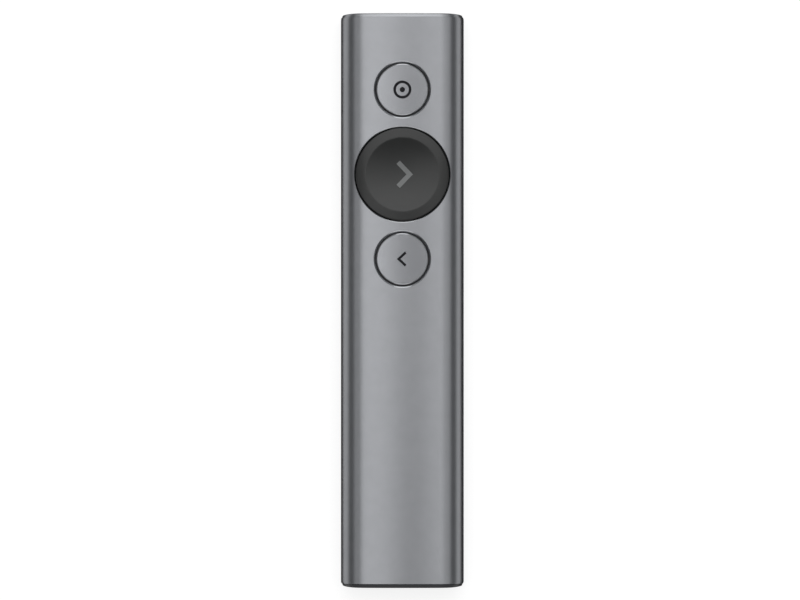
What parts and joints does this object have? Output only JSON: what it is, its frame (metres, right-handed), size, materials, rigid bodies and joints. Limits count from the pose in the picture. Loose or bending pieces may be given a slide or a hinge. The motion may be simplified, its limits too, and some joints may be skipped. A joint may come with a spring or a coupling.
{
  "type": "wireless presentation clicker",
  "caption": "Slim crowned metal presentation clicker with a large dished press button between small round ones, a buzzing motor inside and a wireless receiver that slides out of its tail.",
  "frame": {"origin": "middle of the flat back, under the centre of the clicker's box", "axes": "+Z out of the button face, +Y along the clicker to its nose, +X to the right with the nose up"},
  "size_m": [0.0282, 0.1314, 0.0121],
  "materials": {
    "sleeve_metal": "fine bead-blasted, anodised slate grey",
    "button_metal": "fine bead-blasted, anodised slate grey, bright cut edge",
    "dish_plastic": "soft-touch, very fine texture",
    "tail_plastic": "matte black, fine texture",
    "inner_plastic": "matte moulded",
    "carrier_plastic": "matte moulded",
    "switch_plastic": "matte moulded",
    "board": "solder mask over glass-fibre board",
    "chip_plastic": "moulded package",
    "chip_ceramic": "white ceramic",
    "light_plastic": "clear polycarbonate",
    "bright_steel": "bright nickel-plated sheet",
    "screw_steel": "black zinc",
    "weight_metal": "dull sintered metal",
    "boot_rubber": "matte rubber",
    "battery_foil": "crimped foil pouch",
    "pad_foam": "closed-cell foam",
    "tab_nickel": "nickel strip",
    "tongue_plastic": "moulded",
    "contact_gold": "gold-plated"
  },
  "bodies": {
    "housing": {"sleeve": "sleeve_metal", "nose_cap": "sleeve_metal", "tail_cap": "tail_plastic", "nose_frame": "inner_plastic", "chassis": "inner_plastic", "guide_frame": "inner_plastic", "receiver_dock": "inner_plastic", "pointer_switch": "switch_plastic", "next_switch": "switch_plastic", "back_switch": "switch_plastic", "main_board": "board", "board_chips": "chip_plastic", "chip_antenna": "chip_ceramic", "status_led": "light_plastic", "light_pipe": "light_plastic", "usb_c_shell": "bright_steel", "dock_springs": "bright_steel", "guide_screws": "screw_steel", "board_screws": "screw_steel", "motor_can": "bright_steel", "motor_boot": "boot_rubber", "battery": "battery_foil", "battery_pad": "pad_foam", "battery_tabs": "tab_nickel", "usb_c_tongue": "tongue_plastic"},
    "pointer_button": {"pointer_cap": "button_metal", "pointer_carrier": "carrier_plastic", "pointer_plunger": "carrier_plastic"},
    "next_button": {"next_cap": "dish_plastic", "next_carrier": "carrier_plastic", "next_plunger": "carrier_plastic"},
    "back_button": {"back_cap": "button_metal", "back_carrier": "carrier_plastic", "back_plunger": "carrier_plastic"},
    "receiver": {"receiver_housing": "tail_plastic", "receiver_plug_shell": "bright_steel", "receiver_tongue": "tongue_plastic", "receiver_contacts": "contact_gold", "receiver_board": "board"},
    "motor_rotor": {"motor_shaft": "bright_steel", "motor_weight": "weight_metal"}
  },
  "joints": [
    {"name": "pointer_press", "type": "slide", "parent": "housing", "child": "pointer_button", "axis": [0, 0, -1], "range_m": [0, 0.0004], "stiffness_N_per_m": 1500, "springref_m": -0.0006},
    {"name": "next_press", "type": "slide", "parent": "housing", "child": "next_button", "axis": [0, 0, -1], "range_m": [0, 0.0005], "stiffness_N_per_m": 1500, "springref_m": -0.0006},
    {"name": "back_press", "type": "slide", "parent": "housing", "child": "back_button", "axis": [0, 0, -1], "range_m": [0, 0.0004], "stiffness_N_per_m": 1500, "springref_m": -0.0006},
    {"name": "receiver_slide", "type": "slide", "parent": "housing", "child": "receiver", "axis": [0, -1, 0], "range_m": [0, 0.027]},
    {"name": "motor_spin", "type": "hinge", "parent": "housing", "child": "motor_rotor", "pos_m": [0.00165, 0.05805, 0.00703], "axis": [1, 0, 0], "continuous": true}
  ]
}
